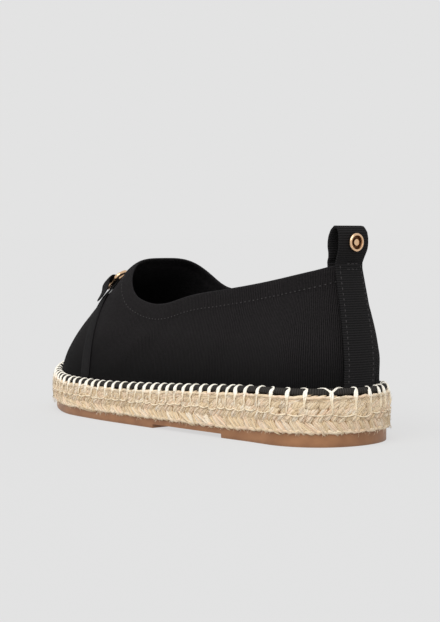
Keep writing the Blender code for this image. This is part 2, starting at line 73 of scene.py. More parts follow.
def cap_ring(name):
    """Corners round a CAD node's flat top, in mm, from the heel by the lateral side."""
    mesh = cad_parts[name].data
    rim_corners = {index for face in mesh.polygons if face.normal.z > 0.9 for index in face.vertices}
    corners = {tuple(round(c / MM, 3) for c in mesh.vertices[index].co) for index in rim_corners}
    return np.array(sorted(corners, key=lambda c: math.atan2(c[0], c[1]) % math.tau))


def distance_along(points):
    """How far along a line of points each of them is."""
    return np.concatenate([[0], np.linalg.norm(np.diff(points, axis=0), axis=1).cumsum()])


def read_off(at, run, table):
    """A table's columns at one or more distances, where run holds the distance of each row."""
    return np.stack([np.interp(at, run, column) for column in table.T], axis=-1)


def closed_curve(points, step):
    """A smooth closed curve through a ring of points, evenly spaced in plan, and its length."""
    count = len(points)
    dense = []
    for k in range(count):
        before, here, after, beyond = (points[(k + j) % count] for j in (-1, 0, 1, 2))
        for t in np.arange(0, 1, 0.1):
            bend = 2 * before - 5 * here + 4 * after - beyond
            twist = 3 * here - before - 3 * after + beyond
            dense.append(0.5 * (2 * here + (after - before) * t + bend * t**2 + twist * t**3))
    dense = np.array(dense + dense[:1])
    run = distance_along(dense[:, :2])
    length = run[-1]
    at = np.arange(round(length / step)) * length / round(length / step)
    return read_off(at, run, dense), length


def facing_out(curve):
    """Unit vectors pointing out of a curve that runs clockwise seen from above."""
    ahead = np.roll(curve, -3, 0)[:, :2] - np.roll(curve, 3, 0)[:, :2]
    ahead /= np.linalg.norm(ahead, axis=1)[:, None]
    return np.stack([-ahead[:, 1], ahead[:, 0]], axis=1)


def height_along(ring):
    """A function that gives a ring's height at y, in mm."""
    rows = ring[np.argsort(ring[:, 1])]
    return lambda y: np.interp(y, rows[:, 1], rows[:, 2])


inner_rim = closed_curve(cap_ring("outsole"), RIM_STEP)[0]
inner_rim[:, :2] += RUBBER_INSET * facing_out(inner_rim)
sole_rim, AROUND = closed_curve(inner_rim, RIM_STEP)
# Round the heel the rubber is thicker and laps up the jute, and the roll presses the jute's top down.
sole_rim[:, 2] += np.interp(sole_rim[:, 1], (LIP_FROM, LIP_FULL), (0.0, HEEL_LIP))
rubber_top = height_along(sole_rim)
jute_top = height_along(cap_ring("jute_sole") - (0, 0, TOP_PRESSED))
RIM_TABLE = np.column_stack([sole_rim[:, :2], facing_out(sole_rim), sole_rim[:, 2], jute_top(sole_rim[:, 1])])
RIM_ALONG = np.arange(len(sole_rim)) * AROUND / len(sole_rim)


def rim(along, out, share, lift=0.0):
    """Points by the sole's edge, in metres. along is mm from the heel by the lateral side, out is mm
    out of the edge, share is the height as a share of the jute's, and lift is mm above that."""
    x, y, out_x, out_y, low, high = (np.interp(along, RIM_ALONG, c, period=AROUND) for c in RIM_TABLE.T)
    return np.stack([x + out_x * out, y + out_y * out, low + (high - low) * share + lift], axis=-1) * MM


def jute_height(along):
    """Height of the jute there, in mm."""
    return np.interp(along, RIM_ALONG, RIM_TABLE[:, 5] - RIM_TABLE[:, 4], period=AROUND)


def tread_height(y):
    """Height of the outsole's underside, in mm, at y mm."""
    hollow = WAIST_HOLLOW if WAIST_FROM < y < WAIST_TO else 0.0
    return hollow + TOE_CURL * (max(0.0, TOE_CURL_FROM - y) / TOE_CURL_OVER) ** 2


def cut_across(body, at, along):
    """Cuts a whole body on a plane."""
    whole = body.verts[:] + body.edges[:] + body.faces[:]
    bmesh.ops.bisect_plane(body, geom=whole, plane_co=at, plane_no=along)


def slab(inset, low, high, cuts):
    """A closed body that fills the sole's outline at an inset, between two heights, cut at some y."""
    body = bmesh.new()
    outline = rim(np.arange(0, AROUND - 1, OUTLINE_STEP), -inset, 0.0)
    body.faces.new([body.verts.new((x, y, 0)) for x, y, _ in outline])
    for y in cuts:
        cut_across(body, (0, y * MM, 0), (0, 1, 0))
    raised = bmesh.ops.extrude_face_region(body, geom=body.faces[:])["geom"]
    raised = {v for v in raised if isinstance(v, bmesh.types.BMVert)}
    for v in body.verts:
        y = v.co.y / MM
        v.co.z = (high(y) if v in raised else low(y)) * MM
    bmesh.ops.recalc_face_normals(body, faces=body.faces[:])
    return body


def linear(hex_colour):
    """An sRGB hex colour as linear red, green, blue and alpha."""
    parts = [int(hex_colour[k : k + 2], 16) / 255 for k in (1, 3, 5)]
    return (*(p / 12.92 if p < 0.04045 else ((p + 0.055) / 1.055) ** 2.4 for p in parts), 1.0)


def feed(tree, value, socket):
    """Links a node's first output, or a (node, output) pair, to a socket, or sets the socket's value."""
    source = value if isinstance(value, tuple) else (value, 0)
    if isinstance(source[0], bpy.types.Node):
        tree.links.new(source[0].outputs[source[1]], socket)
    else:
        socket.default_value = value


def wire_up(tree, shader, **inputs):
    """Links or sets the shader's sockets by name."""
    for name, value in inputs.items():
        feed(tree, value, shader.inputs[name.replace("_", " ")])


def finish(name, colour, roughness, **sockets):
    """A new material, its node tree and its shader, with the constant values on the shader's
    own sockets."""
    made = bpy.data.materials.new(name)
    made.use_nodes = True
    shader = made.node_tree.nodes["Principled BSDF"]
    wire_up(made.node_tree, shader, Base_Color=linear(colour), Roughness=roughness, **sockets)
    return made, made.node_tree, shader


def add(tree, kind, inputs=None, stops=(), **settings):
    """One shader node with its inputs as values or links, its colour stops and its settings."""
    node = tree.nodes.new("ShaderNode" + kind)
    for name, value in settings.items():
        setattr(node, name, value)
    for number, (place, colour) in enumerate(stops):
        ramp = node.color_ramp.elements
        end = {0: 0, len(stops) - 1: -1}.get(number)
        stop = ramp.new(place) if end is None else ramp[end]
        stop.position = place
        stop.color = linear(colour)
    for name, value in (inputs or {}).items():
        feed(tree, value, node.inputs[name])
    return node


def mottled(name, colour, roughness, scale, detail, stops, **sockets):
    """A finish in two tones that drift over it: its material, tree and shader, the place on the
    object, and the drift and tint nodes."""
    made, tree, shader = finish(name, colour, roughness, **sockets)
    place = (add(tree, "TexCoord"), "Object")
    drift = add(tree, "TexNoise", {"Vector": place, "Scale": scale, "Detail": detail})
    tint = add(tree, "ValToRGB", {"Fac": drift}, stops=stops)
    wire_up(tree, shader, Base_Color=tint)
    return made, tree, shader, place, drift, tint


def new_object(name, data):
    """A new object in the scene."""
    made = bpy.data.objects.new(name, data)
    bpy.context.scene.collection.objects.link(made)
    return made


def piece(name, shape, *finishes, sharp=None):
    """A finished piece at the origin, made from a bmesh or a mesh."""
    if isinstance(shape, bmesh.types.BMesh):
        mesh = bpy.data.meshes.new(name)
        shape.to_mesh(mesh)
        shape.free()
    else:
        mesh = shape
        mesh.name = name
    mesh.shade_smooth()
    if sharp:
        mesh.set_sharp_from_angle(angle=math.radians(sharp))
    for each in finishes:
        mesh.materials.append(each)
    return new_object(name, mesh)


# Moulded tan rubber: an even, waxy half-matt tan, a little darker on its sides towards its bottom edge.
RUBBER_TONES = ((0.32, "#845836"), (0.68, "#986A45"))
rubber, tree, shader, place, _, tint = mottled(
    "tan_rubber_moulded", "#916340", 0.46, 120.0, 5.0, RUBBER_TONES, IOR=1.52
)
# The sides darken within 2 mm of the bottom edge, and less where they face down.
height = add(tree, "SeparateXYZ", {"Vector": place})
low_band = add(tree, "MapRange", {"Value": (height, "Z"), "From Max": 2.0 * MM, "To Min": 0.35, "To Max": 0.0})
surface = add(tree, "NewGeometry")
facing = add(tree, "SeparateXYZ", {"Vector": (surface, "Normal")})
upright = add(tree, "MapRange", {"Value": (facing, "Z"), "From Min": -0.9, "From Max": -0.3, "To Min": 0.25})
low_band_on_sides = add(tree, "Math", {0: low_band, 1: upright}, operation="MULTIPLY")
darkened_low = add(tree, "Mix", {0: low_band_on_sides, 6: tint, 7: linear("#5C402C")}, data_type="RGBA")
grain = add(tree, "TexNoise", {"Vector": place, "Scale": 2200.0, "Detail": 3.0})
relief = add(tree, "Bump", {"Height": grain, "Strength": 0.25, "Distance": 0.12 * MM})
wire_up(tree, shader, Base_Color=(darkened_low, 2), Normal=relief)

tread_cuts = [y for y in np.arange(*SOLE_CUTS, TREAD_STRIP) if not WAIST_FROM - 1 < y < WAIST_TO + 1]
tread_cuts += [y + side * WAIST_STEP for y in (WAIST_FROM, WAIST_TO) for side in (-1, 1)]
outsole = slab(RUBBER_INSET, tread_height, rubber_top, sorted(tread_cuts))

# The lower edge is rounded all the way round, but not the waist's two steps, which run straight across.
under = {f for f in outsole.faces if f.normal.z < -0.5}
lower_edges = [e for e in outsole.edges if sum(f in under for f in e.link_faces) == 1]
lower_edges = [e for e in lower_edges if e.calc_face_angle(0) > 0.8]
lower_edges = [
    e for e in lower_edges if abs(e.verts[0].co.y - e.verts[1].co.y) > 1e-6 or abs(e.verts[0].co.y) > 0.1
]
bmesh.ops.bevel(
    outsole, geom=lower_edges, affect="EDGES", offset=RUBBER_EDGE * MM, segments=3, profile=0.5,
    clamp_overlap=True, material=-1,
)
strips = [f for f in outsole.faces if f.normal.z < -0.97 and f.calc_area() > LEAST_STRIP_AREA * MM**2]
strips = [f for f in strips if math.floor(f.calc_center_median().y / MM / TREAD_STRIP) % 2]
strips = [f for f in strips if not WAIST_FROM - 3 < f.calc_center_median().y / MM < WAIST_TO + 3]
bmesh.ops.inset_individual(outsole, faces=strips, thickness=TREAD_EDGE * MM, depth=-TREAD_DEPTH * MM)
outsole_rubber = piece("outsole_rubber", outsole, rubber, sharp=35)
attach(outsole_rubber, "root")
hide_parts("outsole")

# ------------------------------------
# Jute sole. Raw jute plaits are wound flat and sewn into a block. Its side shows
# strands leaning to the heel above a zigzag valley and to the toe below it, a bead
# of straight fibre along the top and the foot, and stray hairs everywhere.

random.seed(7)
STRAND_PITCH = 3.3
STRAND_SHIFT = 0.42
CORE_INSET = 1.7
CORE_BELOW = 0.35
CORE_CUTS = 8.0
ROUND_OFF = 0.6
YARN_SHARE = 0.72
# share of the jute's height at the strands' two ends, lean in degrees (above 90 is towards the toe),
# its spread, width and thickness, how far out the face stands, how far the ends dive in, and yarns
STRAND_ROWS = (
    (0.76, 0.965, 24, 12, 2.5, 1.8, -0.45, 0.9, 2),
    (0.61, 0.88, 44, 13, 2.7, 2.1, -0.2, 1, 2),
    (0.44, 0.71, 49, 10, 2.7, 2.3, -0.05, 1.1, 2),
    (0.28, 0.57, 50, 6, 2.8, 2.5, 0.1, 1.2, 3),
    (-0.02, 0.38, 128, 12, 2.9, 2.5, 0, 0.7, 3),
)
# name, radius, how far out, share of the jute's height, lift in mm, and unevenness
BEADS = (("jute_top_bead", 0.7, -1.35, 1, -0.95, 0.2), ("jute_foot_bead", 0.95, -1.7, 0, 0.85, 0.2))
HAIRS = 1500

core_cuts = np.arange(*SOLE_CUTS, CORE_CUTS)
jute_core = slab(CORE_INSET, lambda y: rubber_top(y) + 0.05, lambda y: jute_top(y) - CORE_BELOW, core_cuts)

# Raw jute: straw-coloured silky fibres in bundles, pinkish and golden strand by strand,
# with streaks along each strand, and painted shade where it dives under its neighbour.
raw_jute, tree, shader = finish(
    "raw_jute_plaited", "#E4CFAE", 0.82, Sheen_Weight=0.2, Sheen_Roughness=0.5, Specular_IOR_Level=0.25
)
lie = add(tree, "UVMap", uv_map="lie")
tone = add(tree, "Attribute", attribute_name="tone")
STRAND_TONES = ((0.0, "#D7C19E"), (0.25, "#E0CEAF"), (0.5, "#E5D7BF"), (0.75, "#E3C7AE"), (1.0, "#EAE2D1"))
strand_tint = add(tree, "ValToRGB", {"Fac": (tone, "Fac")}, stops=STRAND_TONES)
# Fibres about 0.25 mm wide and several mm long
streak_map = add(tree, "Mapping", {"Vector": lie, "Scale": (5.0, 1.3, 1.0)})
streak_inputs = {"Vector": streak_map, "W": (tone, "Fac"), "Scale": 1.0, "Detail": 5.0, "Roughness": 0.7}
streak = add(tree, "TexNoise", streak_inputs, noise_dimensions="4D")
fibre = add(tree, "MapRange", {"Value": streak, "From Min": 0.34, "From Max": 0.62})
streaked = add(tree, "Mix", {0: fibre, 6: linear("#CEB592"), 7: strand_tint}, data_type="RGBA")
# Painted shade: each strand darkens towards its ends, where it dives under its neighbour.
ends = add(tree, "SeparateXYZ", {"Vector": lie})
middle = add(tree, "Math", {0: (ends, "Y"), 1: 0.5}, operation="SUBTRACT")
away = add(tree, "Math", {0: middle}, operation="ABSOLUTE")
deep = add(tree, "MapRange", {"Value": away, "From Min": 0.36, "From Max": 0.5, "To Max": 0.8})
jute_colour = add(tree, "Mix", {0: deep, 6: (streaked, 2), 7: linear("#B99A73")}, data_type="RGBA")
jute_relief = add(tree, "Bump", {"Height": fibre, "Strength": 0.55, "Distance": 0.3 * MM})
wire_up(tree, shader, Base_Color=(jute_colour, 2), Normal=jute_relief)

# The wound plaits behind: the same jute in shade, rough and unlit.
SHADED_TONES = ((0.35, "#92744F"), (0.65, "#BC9F77"))
shaded_jute = mottled("raw_jute_in_the_gaps", "#B39670", 0.9, 900.0, 3.0, SHADED_TONES)[0]


def corners_of(shape):
    """The corners of all the faces in turn."""
    return (loop for face in shape.faces for loop in face.loops)


def template(shape):
    """A small shape's mesh with a uv map: round it and back in u, along it in v."""
    uv = shape.loops.layers.uv.new("lie")
    for loop in corners_of(shape):
        co = loop.vert.co
        loop[uv].uv = (abs(math.atan2(co.y, co.x)) / math.pi, co.z / 2 + 0.5)
    mesh = bpy.data.meshes.new("template")
    shape.to_mesh(mesh)
    shape.free()
    corners = np.array([v.co[:] for v in mesh.vertices])
    return mesh, corners


def copies(mesh, placed, tones):
    """One mesh of many copies of a template, each with its corners put in their own places."""
    many = bmesh.new()
    for _ in placed:
        many.from_mesh(mesh)
    bmesh.ops.recalc_face_normals(many, faces=many.faces[:])
    made = bpy.data.meshes.new("copies")
    many.to_mesh(made)
    many.free()
    made.vertices.foreach_set("co", np.concatenate(placed).ravel())
    tone = made.attributes.new("tone", "FLOAT", "POINT")
    tone.data.foreach_set("value", np.repeat(tones, len(mesh.vertices)))
    made.update()
    return made


jute_core_piece = piece("jute_core", jute_core, shaded_jute, sharp=40)
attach(jute_core_piece, "root")

yarn = bmesh.new()
bmesh.ops.create_uvsphere(yarn, u_segments=6, v_segments=7, radius=1.0)
for v in yarn.verts:
    v.co.z = math.copysign(abs(v.co.z) ** 0.6, v.co.z)
yarn_mesh, yarn_corners = template(yarn)
placed, tones = [], []
for foot, head, lean, spread, width, thick, face, dive, yarns in STRAND_ROWS:
    count = round(AROUND / STRAND_PITCH)
    for k in range(count):
        along = (k + 0.5 * (lean > 90)) * AROUND / count + random.gauss(0, STRAND_SHIFT)
        tilt = math.radians(lean + random.gauss(0, spread))
        high = jute_height(along)
        low_end = foot + random.gauss(0, 0.012)
        high_end = head + random.gauss(0, 0.015)
        wide = width * random.uniform(0.9, 1.12)
        deep = thick * random.uniform(0.88, 1.1) / 2
        bow = random.gauss(0, 0.2)
        stand = face + random.gauss(0, 0.12)
        shade = random.random()
        for j in range(yarns):
            side = j - (yarns - 1) / 2
            q, r, p = yarn_corners.T
            rise = (high_end - low_end) * high * random.uniform(0.9, 1.08)
            middle = side * wide / yarns * (1 - 0.3 * p**2) + bow * (1 - p**2) + random.gauss(0, 0.1) * p
            width_here = q * wide / yarns * YARN_SHARE + middle
            run = -p * rise / 2 / math.tan(tilt) + width_here * math.sin(tilt)
            climb = p * rise / 2 + width_here * math.cos(tilt)
            round_off = ROUND_OFF * abs(side) + abs(random.gauss(0, 0.12))
            out = stand - round_off - 0.75 * deep + r * 0.75 * deep - dive * np.abs(p) ** 3
            share = (low_end + high_end) / 2 + climb / high
            placed.append(rim(along + run, out, share))
            tones.append(min(1.0, max(0.0, shade + random.gauss(0, 0.12))))
jute_plait = piece("jute_plait", copies(yarn_mesh, placed, tones), raw_jute)
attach(jute_plait, "root")
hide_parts("jute_sole")


def swept(segments, sides, place, join=True):
    """A band or tube from a flat grid, put in place by a function of the shares along and across it.
    Its uv map, lie, holds across in u and along in v."""
    band = bmesh.new()
    bmesh.ops.create_grid(band, x_segments=segments, y_segments=sides, size=0.5)
    uv = band.loops.layers.uv.new("lie")
    for loop in corners_of(band):
        loop[uv].uv = (loop.vert.co.y + 0.5, loop.vert.co.x + 0.5)
    shares = np.array([v.co[:2] for v in band.verts]) + 0.5
    for v, spot in zip(band.verts, place(shares[:, 0], shares[:, 1])):
        v.co = spot
    if join:
        bmesh.ops.remove_doubles(band, verts=band.verts[:], dist=0.5e-5)
    bmesh.ops.recalc_face_normals(band, faces=band.faces[:])
    return band


for name, thick, out, share, lift, uneven in BEADS:

    def bead_shape(along, round_it):
        turn = round_it * math.tau
        at = along * AROUND
        wobble = uneven * (np.sin(at * 0.9) + 0.7 * np.sin(at * 2.3 + 1))
        sag = uneven * (np.sin(at * 0.55 + 2) + 0.8 * np.sin(at * 1.7))
        radius = thick * (1 + 0.07 * np.sin(3 * turn + at * 1.1) + 0.8 * uneven * np.sin(at * 1.3 + 1))
        return rim(at, out + wobble + radius * np.cos(turn) * 1.2, share, lift + sag + radius * np.sin(turn))

    bead = swept(600, 12, bead_shape)
    uv = bead.loops.layers.uv["lie"]
    for loop in corners_of(bead):
        loop[uv].uv = (loop[uv].uv.x * 0.9 + 0.05, 0.5 + 0.3 * math.sin(loop[uv].uv.y * 150))
    tone = bead.verts.layers.float.new("tone")
    for v in bead.verts:
        v[tone] = 0.5 + 0.3 * math.sin(v.co.y * 260) * math.sin(v.co.x * 190 + 1)
    jute_bead = piece(name, bead, raw_jute)
    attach(jute_bead, "root")

hair = bmesh.new()
bmesh.ops.create_cone(hair, cap_ends=True, segments=3, radius1=1.0, radius2=0.4, depth=2.0)
for cut in (-0.6, -0.2, 0.2, 0.6):
    cut_across(hair, (0, 0, cut), (0, 0, 1))
hair_mesh, hair_corners = template(hair)
placed, tones = [], []
for k in range(HAIRS):
    at_foot = k % 4 == 0
    at_head = k % 4 == 1
    along = random.uniform(0, AROUND)
    share = random.uniform(0.0, 0.08) if at_foot else random.uniform(0.08, 0.74)
    share = random.uniform(0.84, 0.97) if at_head else share
    length = random.uniform(1.0, 2.6) if at_foot else random.uniform(2.5, 6.0)
    lean = random.gauss(-90, 40) if at_foot else random.gauss(50 if share > 0.35 else 130, 28)
    lean = math.radians(random.gauss(3, 7) if at_head else lean)
    thin = random.uniform(0.07, 0.14)
    curl = random.gauss(0, 0.7)
    spring = abs(random.gauss(0.1, 0.3))
    q, r, p = hair_corners.T
    rises = (p + 1) / 2
    run = -(rises * math.cos(lean) * length) + curl * rises**2 * math.sin(lean) + q * thin
    climb = rises * math.sin(lean) * length + curl * rises**2 * math.cos(lean) + q * thin
    out = -0.15 - 0.5 * at_head + 0.25 * np.sin(rises * math.pi * 0.7) + spring * rises**2 + r * thin
    placed.append(rim(along + run, out, share + climb / jute_height(along)))
    tones.append(random.uniform(0.0, 1.0))
jute_hairs = piece("jute_stray_fibres", copies(hair_mesh, placed, tones), raw_jute)
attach(jute_hairs, "root")

# ------------------------------------
# Sock. The padded insole: thin foam under black cotton, glued on the jute inside
# the walls. The foot has pressed a shallow cup at the heel and a dip at the ball.

SOCK_INSET = 8.0
HEEL_CUP = 1.1
BALL_DIP = 0.7
sock_top = height_along(cap_ring("insole") - (0, 0, 0.1))

# Black cotton lining: a plain weave, matt, slightly lifted by lint.
LINING_TONES = ((0.3, "#111011"), (0.75, "#222021"))
lining, tree, shader, place, *_ = mottled(
    "black_cotton_lining", "#191819", 0.95, 700.0, 4.0, LINING_TONES, Specular_IOR_Level=0.15
)
# Threads 0.5 mm apart, both ways
scaled = add(tree, "VectorMath", {0: place, "Scale": math.tau / (0.5 * MM)}, operation="SCALE")
waves = add(tree, "VectorMath", {0: scaled}, operation="SINE")
weave = add(tree, "SeparateXYZ", {"Vector": waves})
crossing = add(tree, "Math", {0: (weave, "X"), 1: (weave, "Y")}, operation="MULTIPLY")
relief = add(tree, "Bump", {"Height": crossing, "Strength": 0.4, "Distance": 0.12 * MM})
wire_up(tree, shader, Normal=relief)

sock = slab(SOCK_INSET, lambda y: jute_top(y) + 0.3, sock_top, np.arange(-112.0, 116.0, 6.0))
for x in np.arange(-36.0, 37.0, 6.0):
    cut_across(sock, (x * MM, 0, 0), (1, 0, 0))
for v in sock.verts:
    if v.co.z / MM > sock_top(v.co.y / MM) - 0.5:
        x, y = v.co.x / MM, v.co.y / MM
        heel_cup = HEEL_CUP * math.exp(-((x / 17) ** 2) - ((y - 82) / 28) ** 2)
        ball = BALL_DIP * math.exp(-((x / 26) ** 2) - ((y + 45) / 30) ** 2)
        v.co.z -= (heel_cup + ball) * MM
sock_pad = piece("sock", sock, lining, sharp=50)
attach(sock_pad, "root")
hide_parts("insole")

# ------------------------------------
# Upper. One canvas shell, ribbed up and down its sides and lined with cotton. Its
# top edge is turned in and stitched, and its foot is gathered into the edge seam.

RIB_PITCH = 1.05
WEFT_PITCH = 0.55
# Painted shade at the cloth's foot: full below the first height and gone above the second, in mm
FOOT_SHADE = (27.0, 50.0)
HEEL_TURN_RADIUS = 30.0
HEEL_CENTRE = 89.5
HEEL_FULL = 2.2
HEEL_FULL_AT = 74.0
HEEL_FULL_REACH = 16.0
HEEL_FULL_FROM = 75.0
HEEL_FULL_OVER = 30.0
FOOT_ROWS_HIGH = 0.3
FOOT_FLARE = 1.6
FOOT_SUNK = 0.5
HEM_STITCH_DOWN = 8.2
HEM_STEP = 1.5
HEM_STITCH_SUNK = 0.09
STITCH_LENGTH = 1.8
STITCH_RADIUS = 0.32
STITCH_STEP = 2.6
LONGEST_WALK = 300
# Soft creases: side (0 is the vamp), y and z of the middle, half-length, half-width, lean in degrees, depth
CREASES = (
    (1, 62, 46, 22, 3.6, 62, 0.45),
    (1, 48, 40, 20, 3.2, 66, -0.35),
    (1, 5, 44, 26, 5, 40, 0.5),
    (1, -14, 40, 22, 4, 34, -0.4),
    (1, -30, 42, 24, 4, 24, 0.45),
    (-1, 58, 46, 22, 3.6, -60, 0.45),
    (-1, 0, 44, 26, 5, -42, 0.5),
    (-1, -24, 40, 24, 4, -28, -0.45),
    (0, -72, 54, 26, 3.6, 0, 0.6),
    (0, -84, 50, 24, 3.6, 0, -0.4),
)
CREASED_WALL = 12.0
CREASED_VAMP = 35.0


def whole_skin(name):
    """A CAD node's mesh with its corners joined."""
    skin = bmesh.new()
    skin.from_mesh(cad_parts[name].data)
    bmesh.ops.remove_doubles(skin, verts=skin.verts[:], dist=1e-6)
    return skin


def turned(vert, edge, times):
    """The edge met by turning left round a corner, past so many edges."""
    for _ in range(times):
        leaving = next(loop for loop in vert.link_loops if loop.edge == edge)
        edge = leaving.link_loop_prev.edge
    return edge


def walk(vert, edge):
    """Corners, each with the edge it is left by, on a straight way round a shell with six edges
    to a corner."""
    met = [(vert, edge)]
    while len(met) < LONGEST_WALK:
        vert = edge.other_vert(vert)
        if vert == met[0][0]:
            break
        edge = turned(vert, edge, 3)
        met.append((vert, edge))
    return met


def squared_shell(name):
    """A CAD shell's skin as four-sided faces, and its corners in mm, ring by ring from the
    heel's outside."""
    skin = whole_skin(name)
    number = skin.verts.layers.int.new("ring")
    place = skin.verts.layers.int.new("column")
    start = max(skin.verts, key=lambda v: v.co.y)
    sideways = max(start.link_edges, key=lambda e: (e.other_vert(start).co - start.co).normalized().x)
    ring = walk(start, sideways)
    rings = []
    kept = set()
    while not rings or ring[0][0] != start:
        for column, (vert, _) in enumerate(ring):
            vert[number] = len(rings)
            vert[place] = column
        rings.append([vert.co / MM for vert, _ in ring])
        vert, ahead = ring[0]
        quarter = min((1, 2), key=lambda k: abs(turned(vert, ahead, k).other_vert(vert).co.x))
        above = [turned(vert, edge, quarter).other_vert(vert) for vert, edge in ring]
        kept.update(frozenset(edge.verts) for _, edge in ring)
        kept.update(frozenset((vert, higher)) for (vert, _), higher in zip(ring, above))
        ring = walk(above[0], next(e for e in above[0].link_edges if above[1] in e.verts))
    bmesh.ops.dissolve_edges(skin, edges=[e for e in skin.edges if frozenset(e.verts) not in kept])
    return skin, np.array(rings)


def as_mesh(made):
    """An object's finished shape as a new mesh, in place of the object."""
    mesh = bpy.data.meshes.new_from_object(made.evaluated_get(bpy.context.evaluated_depsgraph_get()))
    bpy.data.objects.remove(made)
    return mesh


def smoothed(shape, levels):
    """A bmesh after subdivision, as a new mesh."""
    rough = piece("rough", shape)
    finer = rough.modifiers.new("finer", "SUBSURF")
    finer.levels = finer.render_levels = levels
    return as_mesh(rough)


def round_heel(x, y, z):
    """Distance along the cloth from the heel's middle, the same on both sides, and height, in mm."""
    if y > HEEL_CENTRE:
        return HEEL_TURN_RADIUS * math.atan2(abs(x), y - HEEL_CENTRE), z
    return HEEL_TURN_RADIUS * math.pi / 2 + HEEL_CENTRE - y, z


def lay_cloth(mesh, unrolled):
    """Gives a mesh the uv map cloth, in metres: u runs along the shoe and v up it."""
    spots = [unrolled(*(c / MM for c in v.co)) for v in mesh.vertices]
    uv = mesh.uv_layers.new(name="cloth")
    for loop in mesh.loops:
        u, v = spots[loop.vertex_index]
        uv.data[loop.index].uv = (u * MM, v * MM)


def ribbed_cloth(name, colour, tones, foot_shade, ribs, wander, threads, share, lint, lit, relief, **sockets):
    """Cloth in two tones with ribs, and finer threads across them, by their pitches in mm. The tones follow
    the weave, with painted shade in its grooves and painted highlight on its crests, and the fluff, which
    differs at random. foot_shade is how far painted shade darkens it to the seam at its foot, and wander
    how far the ribs stray, in mm. share and lint weigh the threads and the fluff, lit is the range of
    tones, and relief its strength and depth."""
    made, tree, shader = finish(name, colour, **sockets)
    cloth = add(tree, "UVMap", uv_map="cloth")
    place = (add(tree, "TexCoord"), "Object")
    drift = add(tree, "TexNoise", {"Vector": place, "Scale": 160.0, "Detail": 2.0})
    lie = add(tree, "SeparateXYZ", {"Vector": cloth})
    shift = add(tree, "Math", {0: drift, 1: wander * MM, 2: (lie, "X")}, operation="MULTIPLY_ADD")
    turns = add(tree, "Math", {0: shift, 1: math.tau / (ribs * MM)}, operation="MULTIPLY")
    rib = add(tree, "Math", {0: turns}, operation="SINE")
    over = add(tree, "Math", {0: (lie, "Y"), 1: math.tau / (threads * MM)}, operation="MULTIPLY")
    thread = add(tree, "Math", {0: over}, operation="SINE")
    weave = add(tree, "Math", {0: thread, 1: share, 2: rib}, operation="MULTIPLY_ADD")
    fluff = add(tree, "TexNoise", {"Vector": place, "Scale": 1300.0, "Detail": 3.0})
    # Painted shade and highlight: the tone follows the weave, darker in the grooves and lighter on the
    # crests, and the fluff adds tone that differs at random.
    mottle = add(tree, "Math", {0: fluff, 1: lint, 2: weave}, operation="MULTIPLY_ADD")
    light = add(tree, "MapRange", {"Value": mottle, "From Min": lit[0], "From Max": lit[1]})
    tint = add(tree, "ValToRGB", {"Fac": light}, stops=tuple(zip((0.0, 1.0), tones)))
    # Painted shade: low down, towards the seam at its foot, the cloth darkens to its darkest tone.
    height = add(tree, "SeparateXYZ", {"Vector": place})
    low, high = (edge * MM for edge in FOOT_SHADE)
    fade = {"From Min": low, "From Max": high, "To Min": foot_shade, "To Max": 0.0}
    shade = add(tree, "MapRange", {"Value": (height, "Z"), **fade})
    toned = add(tree, "Mix", {0: shade, 6: tint, 7: linear(tones[0])}, data_type="RGBA")
    bump = add(tree, "Bump", {"Height": weave, "Strength": relief[0], "Distance": relief[1] * MM})
    wire_up(tree, shader, Base_Color=(toned, 2), Normal=bump)
    return made


# Black ribbed canvas, piece-dyed: matt cotton, ribs with painted shade in their grooves and a little
# painted highlight on their crests, finer threads across them, faint lint, and painted shade, deeper black,
# low down where it is pulled into the edge seam.
CANVAS = dict(
    ribs=RIB_PITCH, wander=0.9, threads=WEFT_PITCH, share=0.3, lint=2.4, lit=(-0.3, 2.7),
    relief=(0.8, 0.22), roughness=0.95, Specular_IOR_Level=0.12,
)
canvas = ribbed_cloth("black_ribbed_canvas", "#282526", ("#040404", "#282526"), 0.75, **CANVAS)


def heel_fullness(y, z):
    """How far the counter fills out behind the ankle, in mm: most at mid height, none at the sides."""
    back = np.clip((y - HEEL_FULL_FROM) / HEEL_FULL_OVER, 0.0, 1.0)
    return HEEL_FULL * back**2 * (3 - 2 * back) * np.exp(-(((z - HEEL_FULL_AT) / HEEL_FULL_REACH) ** 2))


shell, upper_grid = squared_shell("upper")
for v in shell.verts:
    v.co.y += heel_fullness(v.co.y / MM, v.co.z / MM) * MM
upper_grid[..., 1] += heel_fullness(upper_grid[..., 1], upper_grid[..., 2])

# The wall's foot turns out to meet the roll, and is drawn down on the jute.
row_height = upper_grid[..., 2].mean(axis=1)
foot_rows = np.flatnonzero(row_height < row_height.min() + FOOT_ROWS_HIGH)
by_width = sorted(foot_rows, key=lambda row: np.abs(upper_grid[row, :, 0]).mean())
flare = upper_grid[by_width[-1], :, :2] - upper_grid[by_width[0], :, :2]
flare *= FOOT_FLARE / np.linalg.norm(flare, axis=1)[:, None]
row_of, column_of = (shell.verts.layers.int[name] for name in ("ring", "column"))
for v in shell.verts:
    if v[row_of] in foot_rows:
        seat = jute_top(v.co.y / MM) - FOOT_SUNK
        v.co.xy += Vector(flare[v[column_of]]) * MM
        v.co.z = min(v.co.z, seat * MM)

# The lining runs from the collar down the inside to the lowest row.
collar_row = int(upper_grid[:, 0, 2].argmax())
rows = len(upper_grid)
outwards = 1 if upper_grid[(collar_row + 3) % rows, 0, 1] > upper_grid[(collar_row - 3) % rows, 0, 1] else -1
down_outside = [(collar_row + outwards * k) % rows for k in range(rows // 2)]
down_inside = [(collar_row - outwards * k) % rows for k in range(rows)]
lowest = int(upper_grid[down_inside, 0, 2].argmin())
for face in shell.faces:
    face.material_index = int(all(v[row_of] in down_inside[: lowest + 1] for v in face.verts))
canvas_mesh = smoothed(shell, 2)
lay_cloth(canvas_mesh, round_heel)

